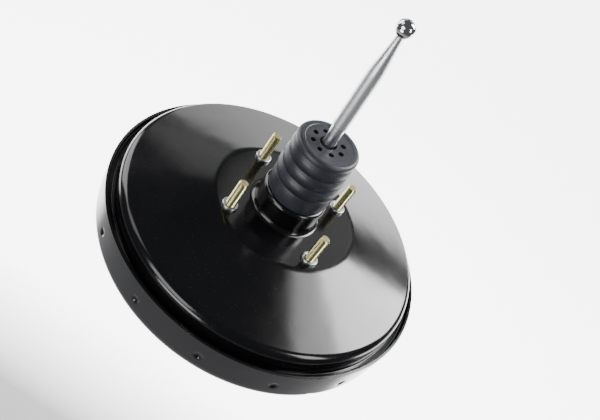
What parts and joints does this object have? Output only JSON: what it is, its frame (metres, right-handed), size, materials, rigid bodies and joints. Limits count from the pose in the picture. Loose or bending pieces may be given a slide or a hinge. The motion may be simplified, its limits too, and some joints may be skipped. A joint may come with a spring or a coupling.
{
  "type": "vacuum brake booster",
  "caption": "Round pressed-steel vacuum brake booster with mounting studs, rubber dust boot, leaning ball-ended input rod, sliding diaphragm piston and hose nipple.",
  "frame": {"origin": "centre of the four firewall studs, on the plane of their collars' top faces", "axes": "+Z along the booster's axis towards the pedal; X and Y along the sides of the stud pattern"},
  "size_m": [0.27, 0.27, 0.3229],
  "materials": {
    "shell_paint": "gloss black stove enamel on pressed steel",
    "stud_zinc": "yellow passivated zinc plate",
    "plate_steel": "plain pressed sheet steel",
    "rod_steel": "bright zinc plate",
    "ball_rod_steel": "satin turned steel with a polished ball",
    "spring_steel": "oiled spring steel",
    "boot_rubber": "satin moulded rubber",
    "seal_rubber": "black rubber",
    "diaphragm_rubber": "fabric-backed rubber",
    "piston_plastic": "glass-filled phenolic moulding",
    "guide_plastic": "natural low-friction plastic",
    "valve_plastic": "black nylon moulding",
    "filter_felt": "dark open felt",
    "plunger_aluminium": "turned aluminium"
  },
  "bodies": {
    "shell": {"rear_shell": "shell_paint", "front_shell": "shell_paint", "rear_plate": "plate_steel", "firewall_studs": "stud_zinc", "front_plate": "plate_steel", "master_cylinder_studs": "stud_zinc", "seal_retainer": "plate_steel", "neck_seal": "seal_rubber", "neck_bearing": "guide_plastic", "dust_boot": "boot_rubber", "diaphragm": "diaphragm_rubber", "spring_seat": "plate_steel", "front_seal": "seal_rubber", "return_spring": "spring_steel", "check_valve_grommet": "seal_rubber", "check_valve_body": "valve_plastic", "check_valve_nipple": "valve_plastic", "check_valve_spring": "spring_steel"},
    "power_piston": {"valve_body": "piston_plastic", "diaphragm_plate": "plate_steel", "stop_key": "plate_steel", "poppet_valve": "seal_rubber", "poppet_retainer": "plate_steel", "poppet_spring": "spring_steel", "air_filter": "filter_felt", "valve_return_spring": "spring_steel", "reaction_disc": "seal_rubber", "output_rod": "rod_steel", "output_rod_adjuster": "rod_steel", "output_rod_retainer": "plate_steel"},
    "valve_plunger": {"valve_plunger": "plunger_aluminium"},
    "rod_socket": {"rod_socket_liner": "guide_plastic"},
    "input_rod": {"input_rod": "rod_steel", "pedal_rod": "ball_rod_steel", "rod_spring_washer": "plate_steel", "rod_snap_ring": "spring_steel"},
    "check_valve_disc": {"check_valve_disc": "seal_rubber"}
  },
  "joints": [
    {"name": "power_stroke", "type": "slide", "parent": "shell", "child": "power_piston", "axis": [0, 0, -1], "range_m": [0, 0.03], "stiffness_N_per_m": 5000, "springref_m": -0.025, "deforming": ["dust_boot", "diaphragm", "return_spring"]},
    {"name": "valve_stroke", "type": "slide", "parent": "power_piston", "child": "valve_plunger", "axis": [0, 0, -1], "range_m": [0, 0.002], "stiffness_N_per_m": 3000, "springref_m": -0.008, "deforming": ["valve_return_spring"]},
    {"name": "rod_tilt", "type": "hinge", "parent": "valve_plunger", "child": "rod_socket", "pos_m": [0, 0, 0.008], "axis": [1, 0, 0], "range_deg": [-1, 1], "stiffness_Nm_per_rad": 2},
    {"name": "rod_sway", "type": "hinge", "parent": "rod_socket", "child": "input_rod", "pos_m": [0, 0, 0.008], "axis": [0, 1, 0], "range_deg": [-1, 1], "stiffness_Nm_per_rad": 2},
    {"name": "check_valve_lift", "type": "slide", "parent": "shell", "child": "check_valve_disc", "axis": [0, 0, -1], "range_m": [0, 0.0015], "stiffness_N_per_m": 100, "springref_m": -0.002, "deforming": ["check_valve_spring"]}
  ]
}
